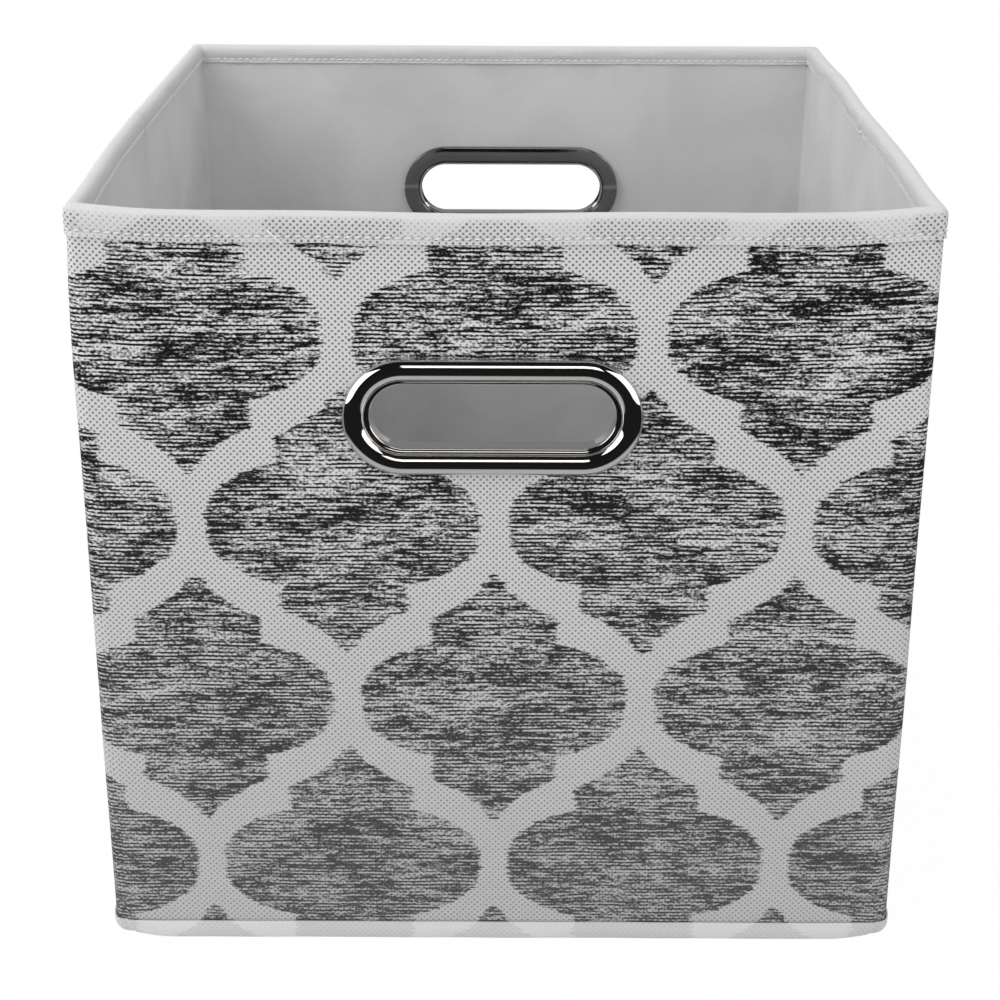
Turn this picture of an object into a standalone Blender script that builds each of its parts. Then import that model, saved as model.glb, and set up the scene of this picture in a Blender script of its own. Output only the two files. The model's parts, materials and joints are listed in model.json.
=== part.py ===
# Collapsible fabric storage bin: printed cloth over card walls, a soft base, and a metal handle ring
# through the front and the rear wall. The side walls are split at a crease and fold inwards.
# Metres, +Z up. Origin: middle of the underside. Front wall at -Y, right-hand wall at +X.

import math

import bmesh
import bpy

# ---- Driving dimensions ----
BIN_WIDTH = 0.280  # left to right, over the printed cloth
BIN_DEPTH = 0.277  # front to rear, over the printed cloth
BIN_HEIGHT = 0.280  # floor to the top of the rim

SKIN = 0.0005  # printed cloth
CARD = 0.0018  # stiffener inside each wall
LINING = 0.0005
BINDING = 0.0005  # folded strip over the rim and round the hem
GAP = 0.0003  # between touching pieces
RIM_BAND = 0.0100  # height of the rim binding
HEM_BAND = 0.0072  # height of the hem binding
CREASE_MARGIN = 0.0040  # from the crease to the edge of the card
CARD_INSET = 0.0008  # from a wall's corner to the edge of its card and lining
CARD_BELOW_RIM = 0.0030  # from the top of the cloth layers down to the card's edge
CARD_ABOVE_HEM = 0.0040
CREASE_SLACK = 0.0008  # extra room for the cloth where a side folds outside to outside

BASE_CLOTH = 0.0006
PAD = 0.0025  # wadding in the soft base
PAD_CLEARANCE = 0.0015  # round the pad and the base lining
PAD_CORNER = 0.004

GRIP_LENGTH = 0.0820  # clear opening of the handle
GRIP_HEIGHT = 0.0228
FRONT_GRIP_DROP = 0.0705  # from the top of the rim down to the handle's centre
REAR_GRIP_DROP = 0.0648
FRONT_GRIP_SHIFT = -0.004  # each handle is set slightly off the middle of its wall
REAR_GRIP_SHIFT = 0.003
RING_BAND = 0.0094  # width of the metal round the opening
BACK_RING_BAND = 0.0078  # the same for the ring inside the bin
RING_PROUD = 0.0038
RING_EDGE = 0.0006  # upright edge of the ring's flange
SLEEVE = 0.0010  # wall of the sleeve that passes through the cloth and card
SLEEVE_CLEARANCE = 0.0005
BACK_RING = 0.0022  # thickness of the snap-on ring inside the bin
BACK_RING_EDGE = 0.0006
ARC_STEPS = 14  # segments in each half-round end of a handle

# ---- Sizes worked out from them ----
CARD_FACE = SKIN + GAP  # depths in a wall, from the outside of the skin inwards
LINING_FACE = CARD_FACE + CARD + GAP
WALL = LINING_FACE + LINING
BINDING_INNER = WALL + GAP + BINDING
BINDING_OUTER = GAP + BINDING
PIVOT = BINDING_INNER + GAP  # the corner fold axes lie this far inside the skins
HALF_GAP = GAP / 2  # each side of a fold axis
CREASE = BINDING_OUTER + CREASE_SLACK + HALF_GAP  # the crease axes lie this far outside the side skins
RETURN = PIVOT - HALF_GAP  # depth of a corner, which belongs to the front or rear wall

HALF_WIDTH = BIN_WIDTH / 2
HALF_DEPTH = BIN_DEPTH / 2
HEM_BOTTOM = BASE_CLOTH + GAP
WALL_BOTTOM = HEM_BOTTOM + BINDING + GAP
WALL_TOP = BIN_HEIGHT - BINDING - GAP
CARD_HEIGHTS = (WALL_BOTTOM + CARD_ABOVE_HEM, WALL_TOP - CARD_BELOW_RIM)
PAD_INSET = WALL + PAD_CLEARANCE
PAD_BOTTOM = BASE_CLOTH + GAP
BASE_LINING_BOTTOM = PAD_BOTTOM + PAD + GAP
BEYOND = 0.02  # how far a cutter runs past what it cuts

COLOURS = {  # linear colour, roughness, metallic
    "printed_cloth": ((0.24, 0.24, 0.25), 0.85, 0.0),
    "lining_cloth": ((0.42, 0.43, 0.44), 0.80, 0.0),
    "binding_cloth": ((0.62, 0.63, 0.64), 0.80, 0.0),
    "grey_card": ((0.30, 0.27, 0.23), 0.90, 0.0),
    "chrome": ((0.75, 0.76, 0.78), 0.12, 1.0),
    "wadding": ((0.60, 0.60, 0.58), 0.95, 0.0),
    "base_cloth": ((0.38, 0.39, 0.40), 0.85, 0.0),
}


def clear_scene():
    for obj in list(bpy.data.objects):
        bpy.data.objects.remove(obj, do_unlink=True)


def new_collection(name):
    collection = bpy.data.collections.new(name)
    bpy.context.scene.collection.children.link(collection)
    return collection


clear_scene()
PARTS = new_collection("fabric_storage_bin")
CUTTERS = new_collection("cutters")


def make_materials():
    for name, (colour, roughness, metallic) in COLOURS.items():
        material = bpy.data.materials.new(name)
        material.use_nodes = True
        shader = material.node_tree.nodes["Principled BSDF"]
        shader.inputs["Base Color"].default_value = (*colour, 1.0)
        shader.inputs["Roughness"].default_value = roughness
        shader.inputs["Metallic"].default_value = metallic


def make_pivot(name, x, y):
    pivot = bpy.data.objects.new(name, None)
    pivot.location = (x, y, 0)
    pivot.empty_display_size = 0.02
    PARTS.objects.link(pivot)
    return pivot


def add_object(name, mesh, wall, material):
    """Puts a mesh made in a wall's own frame in its place, under the wall's pivot."""
    obj = bpy.data.objects.new(name, mesh)
    obj.parent = wall["pivot"]
    x, y = wall["origin"]
    obj.location = (x - wall["pivot"].location.x, y - wall["pivot"].location.y, 0)
    obj.rotation_euler.z = wall["turn"]
    if material:
        mesh.materials.append(bpy.data.materials[material])
        PARTS.objects.link(obj)
    else:
        obj.hide_render = True
        obj.display_type = "WIRE"
        CUTTERS.objects.link(obj)
    return obj


def box_mesh(name, x, y, z):
    """A box between the given pairs of x, y and z."""
    mesh = bpy.data.meshes.new(name)
    bm = bmesh.new()
    bmesh.ops.create_cube(bm, size=1.0)
    sizes = [high - low for low, high in (x, y, z)]
    middles = [(high + low) / 2 for low, high in (x, y, z)]
    bmesh.ops.scale(bm, vec=sizes, verts=bm.verts)
    bmesh.ops.translate(bm, vec=middles, verts=bm.verts)
    bm.to_mesh(mesh)
    bm.free()
    return mesh


def add_box(name, wall, x, y, z, material):
    return add_object(name, box_mesh(name, x, y, z), wall, material)


def cut(obj, wall, x, y, z):
    """Cuts a box, given in the wall's own frame, out of the object."""
    cutter = add_box(f"{obj.name}_cutter_{len(obj.modifiers)}", wall, x, y, z, None)
    cut_with(obj, cutter)


def cut_with(obj, cutter):
    modifier = obj.modifiers.new("Cut", "BOOLEAN")
    modifier.operation = "DIFFERENCE"
    modifier.solver = "EXACT"
    modifier.object = cutter


# ---- Handle rings ----


def stadium(length, height, steps):
    """Points round a slot with half-round ends, anticlockwise, centred on the origin."""
    radius = height / 2
    reach = length / 2 - radius
    points = []
    for side in (1, -1):
        for step in range(steps + 1):
            angle = math.pi * step / steps - math.pi / 2
            points.append((side * (reach + radius * math.cos(angle)), side * radius * math.sin(angle)))
    return points


def closed_curve(name, points):
    curve = bpy.data.curves.new(name, "CURVE")
    curve.dimensions = "2D"
    curve.fill_mode = "NONE"
    spline = curve.splines.new("POLY")
    spline.points.add(len(points) - 1)
    for point, (x, y) in zip(spline.points, points):
        point.co = (x, y, 0, 1)
    spline.use_cyclic_u = True
    return curve


def mesh_of_curve(name, curve):
    """The curve's surface as a welded mesh, stood upright with its Y axis as height, facing out."""
    helper = bpy.data.objects.new(name, curve)
    CUTTERS.objects.link(helper)
    graph = bpy.context.evaluated_depsgraph_get()
    mesh = bpy.data.meshes.new_from_object(helper.evaluated_get(graph))
    bpy.data.objects.remove(helper, do_unlink=True)
    bm = bmesh.new()
    bm.from_mesh(mesh)
    bmesh.ops.remove_doubles(bm, verts=bm.verts, dist=1e-6)
    for vert in bm.verts:
        vert.co = (vert.co.x, -vert.co.z, vert.co.y)
    bmesh.ops.recalc_face_normals(bm, faces=bm.faces)
    bm.to_mesh(mesh)
    bm.free()
    mesh.name = name
    return mesh


def swept_ring(name, length, height, profile):
    """A profile of (distance out from the slot's edge, height outwards from the wall), swept round a slot."""
    inside_out = [(-out, height) for out, height in profile]  # a sweep lays +X towards the slot's middle
    outline = bpy.data.objects.new(name + "_profile", closed_curve(name + "_profile", inside_out))
    CUTTERS.objects.link(outline)
    path = closed_curve(name, stadium(length, height, ARC_STEPS))
    path.bevel_mode = "OBJECT"
    path.bevel_object = outline
    mesh = mesh_of_curve(name, path)
    bpy.data.objects.remove(outline, do_unlink=True)
    mesh.shade_smooth()
    mesh.set_sharp_from_angle(angle=math.radians(40))
    return mesh


def bezel_profile():
    """Half-round flange in front of the wall, with a sleeve that reaches back through it."""
    middle = RING_BAND / 2
    crown = RING_PROUD - RING_EDGE
    arc = []
    for step in range(9):
        angle = math.pi * step / 8
        arc.append((middle + middle * math.cos(angle), RING_EDGE + crown * math.sin(angle)))
    back = -(WALL + GAP + BACK_RING)
    return arc + [(0, back), (SLEEVE, back), (SLEEVE, GAP), (RING_BAND, GAP)]


def back_ring_profile():
    """Flat ring with softened edges, snapped over the end of the sleeve."""
    near, far = SLEEVE + GAP, BACK_RING_BAND
    face = -(WALL + GAP)
    back = face - BACK_RING
    edge = BACK_RING_EDGE
    return [(near, face), (near, back + edge), (near + edge, back), (far - edge, back), (far, back + edge), (far, face)]


def add_handle(wall):
    """Adds the two rings, and returns the cutter for the slot in the wall's layers."""
    rings = {"handle_bezel": bezel_profile(), "handle_back_ring": back_ring_profile()}
    for part, profile in rings.items():
        name = f"{wall['name']}_{part}"
        mesh = swept_ring(name, GRIP_LENGTH, GRIP_HEIGHT, profile)
        place_grip(mesh, wall)
        add_object(name, mesh, wall, "chrome")
    growth = 2 * (SLEEVE + SLEEVE_CLEARANCE)
    slot = closed_curve("slot", stadium(GRIP_LENGTH + growth, GRIP_HEIGHT + growth, ARC_STEPS))
    slot.fill_mode = "BOTH"
    slot.extrude = BEYOND
    mesh = mesh_of_curve("slot", slot)
    place_grip(mesh, wall)
    return add_object(f"{wall['name']}_slot_cutter", mesh, wall, None)


def place_grip(mesh, wall):
    for vert in mesh.vertices:
        vert.co.x += wall["grip_shift"]
        vert.co.z += BIN_HEIGHT - wall["grip_drop"]


# ---- Walls ----


def add_full_wall(wall):
    """Front or rear wall, which also holds the two corners and a handle."""
    name = wall["name"]
    half = HALF_WIDTH
    heights = (WALL_BOTTOM, WALL_TOP)
    over = (-BEYOND, BIN_HEIGHT + BEYOND)

    skin = add_box(name + "_skin", wall, (-half, half), (0, RETURN), heights, "printed_cloth")
    cut(skin, wall, (SKIN - half, half - SKIN), (SKIN, BEYOND), over)
    flat = (CARD_INSET - half, half - CARD_INSET)
    card_depth = (CARD_FACE, CARD_FACE + CARD)
    card = add_box(name + "_card_stiffener", wall, flat, card_depth, CARD_HEIGHTS, "grey_card")
    lining = add_box(name + "_lining", wall, flat, (LINING_FACE, WALL), heights, "lining_cloth")

    outer = half + BINDING_OUTER
    rim = (BIN_HEIGHT - RIM_BAND, BIN_HEIGHT)
    under_rim = (BIN_HEIGHT - RIM_BAND - BEYOND, BIN_HEIGHT - BINDING)
    binding = add_box(
        name + "_top_binding", wall, (-outer, outer), (-BINDING_OUTER, RETURN), rim, "binding_cloth"
    )
    cut(binding, wall, (-half - GAP, half + GAP), (-GAP, WALL + GAP), under_rim)
    for side in (-1, 1):
        ends = sorted((side * (half - SKIN - GAP), side * (half + GAP)))
        cut(binding, wall, ends, (0, BEYOND), under_rim)
    cut(binding, wall, (BINDING_INNER - half, half - BINDING_INNER), (BINDING_INNER, BEYOND), over)

    hem = add_box(
        name + "_bottom_binding",
        wall,
        (-outer, outer),
        (-BINDING_OUTER, RETURN),
        (HEM_BOTTOM, HEM_BOTTOM + HEM_BAND),
        "binding_cloth",
    )
    cut(hem, wall, (-half - GAP, half + GAP), (-GAP, BEYOND), (HEM_BOTTOM + BINDING, BIN_HEIGHT))

    slot = add_handle(wall)
    for layer in (skin, card, lining):
        cut_with(layer, slot)


def add_half_wall(wall):
    """Half of a side wall, from a corner's fold axis to the crease."""
    name = wall["name"]
    corner, crease = wall["corner"], wall["crease"]
    inward = math.copysign(1, crease - corner)
    near = corner + inward * (PIVOT + HALF_GAP)
    ends = sorted((near, crease - inward * HALF_GAP))
    card_ends = sorted((near, crease - inward * CREASE_MARGIN))
    heights = (WALL_BOTTOM, WALL_TOP)

    add_box(name + "_skin", wall, ends, (0, SKIN), heights, "printed_cloth")
    card_depth = (CARD_FACE, CARD_FACE + CARD)
    add_box(name + "_card_stiffener", wall, card_ends, card_depth, CARD_HEIGHTS, "grey_card")
    add_box(name + "_lining", wall, ends, (LINING_FACE, WALL), heights, "lining_cloth")

    past = (ends[0] - BEYOND, ends[1] + BEYOND)
    rim = (BIN_HEIGHT - RIM_BAND, BIN_HEIGHT)
    binding = add_box(
        name + "_top_binding", wall, ends, (-BINDING_OUTER, BINDING_INNER), rim, "binding_cloth"
    )
    cut(binding, wall, past, (-GAP, WALL + GAP), (rim[0] - BEYOND, BIN_HEIGHT - BINDING))
    hem_height = (HEM_BOTTOM, HEM_BOTTOM + HEM_BAND)
    hem = add_box(
        name + "_bottom_binding", wall, ends, (-BINDING_OUTER, WALL), hem_height, "binding_cloth"
    )
    cut(hem, wall, past, (-GAP, BEYOND), (HEM_BOTTOM + BINDING, BIN_HEIGHT))


# ---- Base ----


def add_base_layer(name, wall, inset, z, corner, material):
    half_x, half_y = HALF_WIDTH - inset, HALF_DEPTH - inset
    layer = add_box(name, wall, (-half_x, half_x), (-half_y, half_y), z, material)
    if corner:
        bm = bmesh.new()
        bm.from_mesh(layer.data)
        upright = [edge for edge in bm.edges if abs(edge.verts[0].co.z - edge.verts[1].co.z) > z[1] - z[0] - GAP / 10]
        bmesh.ops.bevel(bm, geom=upright, offset=corner, segments=4, affect="EDGES", profile=0.5)
        bm.to_mesh(layer.data)
        bm.free()
    return layer


def add_base(pivot):
    base = {"pivot": pivot, "origin": (0, 0), "turn": 0.0}
    pad_top = PAD_BOTTOM + PAD
    lining_top = BASE_LINING_BOTTOM + LINING
    add_base_layer("bottom_fabric", base, 0, (0, BASE_CLOTH), 0, "base_cloth")
    add_base_layer("base_pad", base, PAD_INSET, (PAD_BOTTOM, pad_top), PAD_CORNER, "wadding")
    add_base_layer("base_lining", base, PAD_INSET, (BASE_LINING_BOTTOM, lining_top), PAD_CORNER, "lining_cloth")


def build():
    make_materials()
    corner_x, corner_y = HALF_WIDTH - PIVOT, HALF_DEPTH - PIVOT
    crease_x = HALF_WIDTH + CREASE
    front_pivot = make_pivot("front_body", 0, 0)
    add_base(front_pivot)
    add_full_wall(
        {
            "name": "front",
            "pivot": front_pivot,
            "origin": (0, -HALF_DEPTH),
            "turn": 0.0,
            "grip_shift": FRONT_GRIP_SHIFT,
            "grip_drop": FRONT_GRIP_DROP,
        }
    )
    add_full_wall(
        {
            "name": "rear",
            "pivot": make_pivot("rear_body", corner_x, corner_y),
            "origin": (0, HALF_DEPTH),
            "turn": math.pi,
            "grip_shift": -REAR_GRIP_SHIFT,  # the rear wall's own X runs to the left
            "grip_drop": REAR_GRIP_DROP,
        }
    )
    for side_name, side in (("right", 1), ("left", -1)):
        half_walls = {
            "front": (side * corner_x, -corner_y, -side * HALF_DEPTH),
            "rear": (side * crease_x, 0, side * HALF_DEPTH),
        }
        for half_name, (x, y, corner) in half_walls.items():
            name = f"{side_name}_{half_name}"
            add_half_wall(
                {
                    "name": name,
                    "pivot": make_pivot(name + "_body", x, y),
                    "origin": (side * HALF_WIDTH, 0),
                    "turn": side * math.pi / 2,
                    "corner": corner,
                    "crease": 0.0,
                }
            )


build()
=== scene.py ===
import json
import math

import bmesh
import bpy
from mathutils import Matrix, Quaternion, Vector


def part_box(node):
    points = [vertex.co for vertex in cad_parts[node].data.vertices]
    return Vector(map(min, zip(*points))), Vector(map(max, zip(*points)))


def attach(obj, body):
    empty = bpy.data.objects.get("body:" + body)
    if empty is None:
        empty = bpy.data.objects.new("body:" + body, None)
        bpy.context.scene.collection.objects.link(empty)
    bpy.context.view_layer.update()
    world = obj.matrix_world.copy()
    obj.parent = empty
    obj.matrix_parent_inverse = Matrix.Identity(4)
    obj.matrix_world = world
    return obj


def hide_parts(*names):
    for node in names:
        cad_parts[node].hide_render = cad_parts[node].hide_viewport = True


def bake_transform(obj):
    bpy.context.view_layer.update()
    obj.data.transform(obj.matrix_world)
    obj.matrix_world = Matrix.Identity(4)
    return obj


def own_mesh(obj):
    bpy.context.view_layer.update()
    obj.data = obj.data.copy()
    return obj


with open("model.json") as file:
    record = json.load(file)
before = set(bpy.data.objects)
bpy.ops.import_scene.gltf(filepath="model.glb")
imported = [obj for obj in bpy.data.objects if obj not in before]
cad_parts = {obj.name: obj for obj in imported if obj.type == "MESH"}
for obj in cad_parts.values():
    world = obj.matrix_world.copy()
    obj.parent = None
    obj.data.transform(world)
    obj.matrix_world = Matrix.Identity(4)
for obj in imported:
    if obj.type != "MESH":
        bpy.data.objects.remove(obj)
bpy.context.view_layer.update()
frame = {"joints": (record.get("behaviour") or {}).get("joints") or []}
bpy.context.scene.view_settings.view_transform = "Standard"

# Sizes read from the frame, in metres
skinLow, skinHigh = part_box("front_skin")
halfWidth, halfDepth = skinHigh.x, -skinLow.y
binWidth, binDepth = 2 * halfWidth, 2 * halfDepth
rimLow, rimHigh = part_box("front_top_binding")
binTop, rimBottom = rimHigh.z, rimLow.z
hemLow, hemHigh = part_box("front_bottom_binding")
bindingOut = -halfDepth - rimLow.y  # how far the bindings stand outside the skin
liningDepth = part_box("front_lining")[1].y + halfDepth  # inner face of the lining, from the skin's outside
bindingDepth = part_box("left_front_top_binding")[1].x + halfWidth
cardLow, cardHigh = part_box("front_card_stiffener")
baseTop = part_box("base_lining")[1].z
gripLow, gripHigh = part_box("front_handle_bezel")
jointPlace = {joint["name"]: joint["pos_m"] for joint in frame["joints"]}
foldInset = halfWidth - jointPlace["fold_front_right"][0]  # the corner axes lie this far inside the skins

wallBody = ["left_rear", "left_front", "front", "right_front", "right_rear", "rear"]


# Plan of the bin.
# u is the distance round the printed cloth, seen from above: left wall -binDepth..0, front 0..binWidth,
# right, then rear. It breaks at the rear left corner, where the real loop of cloth is sewn.

wallShape = {
    "cornerRadius": 0.0020,  # outside of the cloth at the upright corners
    "tightestRadius": 0.0008,
    "cornerReach": 0.0105,  # from a corner to where its strip of cloth ends
    "creaseReach": 0.0085,
    "sideSag": 0.0002,
    "leftRoll": 0.0044,  # how far the side cloth rolls out beside the front corners
    "rightRoll": 0.0038,
    "rollPeak": 0.009,  # distance behind the corner
    "rimSag": 0.0013,  # the front rim hangs this much in the middle
    "leftBow": 0.0028,  # the left side stands out at its crease
    "rightBow": 0.0010,
    "frontFullness": 0.0013,  # how far the front halves of the sides curve outwards
    "rippleHeight": 0.00030,
    "creaseGroove": 0.0021,  # the lining sinks between the cards at the side creases
    "creaseGrooveWidth": 0.0015,
    "cornerRise": 0.0015,  # the rim stands up a little at the front corners
    "cornerRiseReach": 0.018,
    "hemTuck": 0.0034,  # the bottom corners are pulled in
    "hemTuckHeight": 0.0105,
}
wallTable = [  # start of u, length, middle, direction along, outward
    (-binDepth, binDepth, (-halfWidth, 0.0), (0, -1), (-1, 0)),
    (0.0, binWidth, (0.0, -halfDepth), (1, 0), (0, -1)),
    (binWidth, binDepth, (halfWidth, 0.0), (0, 1), (1, 0)),
    (binWidth + binDepth, binWidth, (0.0, halfDepth), (-1, 0), (0, 1)),
]
loopLength = 2 * (binWidth + binDepth)
cornerPlaces = (-binDepth, 0, binWidth, binWidth + binDepth, 2 * binWidth + binDepth)


def wallOf(u):
    index = sum(u > start + length for start, length, *_ in wallTable[:-1])
    return wallTable[index]


def tent(distance, reach):
    return max(0.0, 1 - abs(distance) / reach)


def bowOf(u, z):
    lift = min(1.0, max(0.0, z / binTop))
    left = wallShape["leftBow"] * tent(u + halfDepth, halfDepth) ** 1.15
    right = wallShape["rightBow"] * tent(u - binWidth - halfDepth, halfDepth) ** 1.3
    rear = 0.0012 * math.exp(-(((u - binWidth - 1.5 * halfDepth) / 0.03) ** 2))
    away = max(-u, u - binWidth) / halfDepth
    full = wallShape["frontFullness"] * math.sin(math.pi * away) if 0 < away < 1 else 0.0
    return (left + right + rear + full) * (0.2 + 0.8 * lift**3) + rollOf(u, lift)


def rollOf(u, lift):
    # The side cloth stands proud beside the front corners, most near the floor.
    behind = max(-u, u - binWidth) / wallShape["rollPeak"]
    if behind <= 0:
        return 0.0
    height = (1 - 0.42 * lift) * wallShape["leftRoll"] if u < 0 else (1 - 0.75 * lift) * wallShape["rightRoll"]
    return height * (1 - lift**12) * behind * math.exp(1 - behind)


def rippleOf(u, z):
    turn = 2 * math.pi * u / loopLength
    wave = math.sin(11 * turn + 9.0 * z / binTop) + 0.7 * math.sin(23 * turn - 14.0 * z / binTop + 1.3)
    wave += 0.5 * math.sin(37 * turn + 21.0 * z / binTop + 4.0)
    return wallShape["rippleHeight"] * (0.5 + 0.25 * wave)


def sagOf(u, z):
    lift = min(1.0, max(0.0, z / binTop)) ** 5
    _, length, *_ = wallOf(u)
    start = wallOf(u)[0]
    share = min(1.0, max(0.0, (u - start) / length))
    sag = wallShape["rimSag"] if start == 0 else wallShape["sideSag"]
    hang = math.sin(math.pi * share) ** 0.7 * (1 + 0.25 * math.sin(5 * math.pi * share + 0.6))
    rise = sum(math.exp(-(((u - place) / wallShape["cornerRiseReach"]) ** 2)) for place in (0, binWidth))
    return (sag * hang - wallShape["cornerRise"] * rise) * lift


def planPoint(u, depth, square=False):
    start, length, middle, along, out = wallOf(u)
    place = u - start - length / 2
    edge = length / 2 - abs(place)
    reach = wallShape["cornerReach"]
    if square or edge >= reach:
        return (
            middle[0] + along[0] * place - out[0] * depth,
            middle[1] + along[1] * place - out[1] * depth,
        )
    side = 1 if place > 0 else -1
    radius = max(wallShape["cornerRadius"] - depth, wallShape["tightestRadius"])
    straight = reach - (depth + radius)
    travel = (1 - edge / reach) * (straight + radius * math.pi / 4)
    if travel < straight:
        moved = side * (length / 2 - reach + travel)
        return (
            middle[0] + along[0] * moved - out[0] * depth,
            middle[1] + along[1] * moved - out[1] * depth,
        )
    angle = (travel - straight) / radius
    moved = side * (length / 2 - depth - radius + radius * math.sin(angle))
    back = depth + radius - radius * math.cos(angle)
    return (
        middle[0] + along[0] * moved - out[0] * back,
        middle[1] + along[1] * moved - out[1] * back,
    )


def cornerTuck(u, z):
    corner = min(abs(u - place) for place in cornerPlaces)
    near = max(0.0, 1 - corner / (1.6 * wallShape["hemTuckHeight"]))
    low = max(0.0, 1 - z / wallShape["hemTuckHeight"])
    return wallShape["hemTuck"] * near**1.6 * low**1.8


def wallPoint(u, depth, z, square=False):
    x, y = planPoint(u, depth - bowOf(u, z), square)
    tuck = 0.0 if square else cornerTuck(u, z)
    x -= math.copysign(tuck, x)
    y -= math.copysign(tuck, y) * (1.0 if abs(y) > halfDepth - 0.03 else 0.0)
    return (x, y, z - sagOf(u, z))


def stations(start, end, step=0.003):
    reach = wallShape["cornerReach"]
    fine = [0.0085, 0.0065, 0.0045, 0.0032, 0.0024, 0.0018, 0.0014, 0.0010, 0.0007, 0.0004, 0.0002]
    count = max(1, round((end - start) / step))
    places = {round(start + (end - start) * i / count, 7) for i in range(count + 1)}
    for corner in cornerPlaces:
        if start - 1e-9 <= corner <= end + 1e-9:
            places = {p for p in places if abs(p - corner) > reach - 1e-6 or p in (start, end)}
            places.add(round(corner, 7))
            for gap in fine:
                for place in (corner - gap, corner + gap):
                    if start < place < end:
                        places.add(round(place, 7))
    return sorted(places)


# Mesh helpers.


def newObject(name, mesh):
    obj = bpy.data.objects.new(name, mesh)
    bpy.context.collection.objects.link(obj)
    return obj


def finishMesh(bm, name, angle=35):
    bmesh.ops.remove_doubles(bm, verts=bm.verts, dist=1e-7)
    bmesh.ops.recalc_face_normals(bm, faces=bm.faces)
    mesh = bpy.data.meshes.new(name)
    bm.to_mesh(mesh)
    bm.free()
    mesh.shade_smooth()
    mesh.set_sharp_from_angle(angle=math.radians(angle))
    return mesh


def sweepWall(name, places, profile, shift=None, square=False):
    # Sweeps a closed outline of (depth, z, v) round the walls, with a cap at each end.
    bm = bmesh.new()
    uvLayer = bm.loops.layers.uv.new("UVMap")
    rings = []
    for u in places:
        ring = []
        for depth, z, _ in profile:
            moved, raised = shift(u, depth, z) if shift else (0.0, 0.0)
            ring.append(bm.verts.new(wallPoint(u, depth + moved, z + raised, square)))
        rings.append(ring)
    count = len(profile)
    for column in range(len(places) - 1):
        for row in range(count):
            after = (row + 1) % count
            corners = [(column, row), (column, after), (column + 1, after), (column + 1, row)]
            face = bm.faces.new([rings[c][r] for c, r in corners])
            for loop, (c, r) in zip(face.loops, corners):
                v = profile[r][2]
                if r == 0 and row == count - 1:
                    v = profile[count - 1][2] + 0.0005  # closes the outline without folding the map back
                loop[uvLayer].uv = (places[c], v)
    for ring, u in ((rings[0], places[0]), (rings[-1], places[-1])):
        half = count // 2
        pairs = [(i, count - 1 - i) for i in range(half)]
        for (a, b), (c, d) in zip(pairs, pairs[1:]):
            face = bm.faces.new([ring[a], ring[c], ring[d], ring[b]])
            for loop, r in zip(face.loops, (a, c, d, b)):
                loop[uvLayer].uv = (u, profile[r][2])
    return newObject(name, finishMesh(bm, name))


def slabOutline(outer, inner, low, high, rise):
    rows = max(2, round((high - low) / rise))
    heights = [low + (high - low) * i / rows for i in range(rows + 1)]
    return [(outer, z, z) for z in heights] + [(inner, z, z) for z in reversed(heights)]


def stadium(length, height, steps):
    # Points round a slot with half-round ends, anticlockwise, and the outward direction at each.
    radius = height / 2
    reach = length / 2 - radius
    points = []
    for side in (1, -1):
        for step in range(steps + 1):
            angle = math.pi * step / steps - math.pi / 2
            outX, outZ = side * math.cos(angle), side * math.sin(angle)
            points.append((side * reach + radius * outX, radius * outZ, outX, outZ))
    return points


def slotCutter(middle, faceY):
    grow = 0.0030
    bm = bmesh.new()
    loops = []
    for y in (faceY - 0.02, faceY + 0.02):
        ring = [
            bm.verts.new((middle[0] + x, y, middle[1] + z))
            for x, z, _, _ in stadium(gripShape["length"] + grow, gripShape["height"] + grow, 24)
        ]
        loops.append(ring)
        bm.faces.new(ring)
    count = len(loops[0])
    for i in range(count):
        j = (i + 1) % count
        bm.faces.new((loops[0][i], loops[0][j], loops[1][j], loops[1][i]))
    return newObject("slotCutter", finishMesh(bm, "slotCutter"))


def cutSlot(obj, middle, faceY):
    cutter = slotCutter(middle, faceY)
    modifier = obj.modifiers.new("Slot", "BOOLEAN")
    modifier.operation, modifier.solver, modifier.object = "DIFFERENCE", "EXACT", cutter
    graph = bpy.context.evaluated_depsgraph_get()
    mesh = bpy.data.meshes.new_from_object(obj.evaluated_get(graph))
    obj.modifiers.clear()
    obj.data = mesh
    mesh.name = obj.name
    bpy.data.objects.remove(cutter, do_unlink=True)


gripShape = {  # both handles; the slot is the clear opening
    "length": gripHigh.x - gripLow.x - 2 * 0.0094,
    "height": gripHigh.z - gripLow.z - 2 * 0.0094,
}


def gripMiddle(wall):
    low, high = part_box(wall + "_handle_bezel")
    return (low.x + high.x) / 2, (low.z + high.z) / 2


# Layers of cloth and card round the walls.

cornerReach, creaseReach = wallShape["cornerReach"], wallShape["creaseReach"]
rightMiddle, leftMiddle = binWidth + halfDepth, -halfDepth
panels = {  # body: start and end of u
    "left_rear": (-binDepth, leftMiddle - creaseReach),
    "left_front": (leftMiddle + creaseReach, -cornerReach),
    "front": (cornerReach, binWidth - cornerReach),
    "right_front": (binWidth + cornerReach, rightMiddle - creaseReach),
    "right_rear": (rightMiddle + creaseReach, binWidth + binDepth - cornerReach),
    "rear": (binWidth + binDepth + cornerReach, 2 * binWidth + binDepth),
}
strips = {  # name: bodies it joins, start and end of u
    "left_crease": ("left_rear", "left_front", leftMiddle - creaseReach, leftMiddle + creaseReach),
    "front_left_corner": ("left_front", "front", -cornerReach, cornerReach),
    "front_right_corner": ("front", "right_front", binWidth - cornerReach, binWidth + cornerReach),
    "right_crease": ("right_front", "right_rear", rightMiddle - creaseReach, rightMiddle + creaseReach),
    "rear_right_corner": (
        "right_rear",
        "rear",
        binWidth + binDepth - cornerReach,
        binWidth + binDepth + cornerReach,
    ),
}


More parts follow.
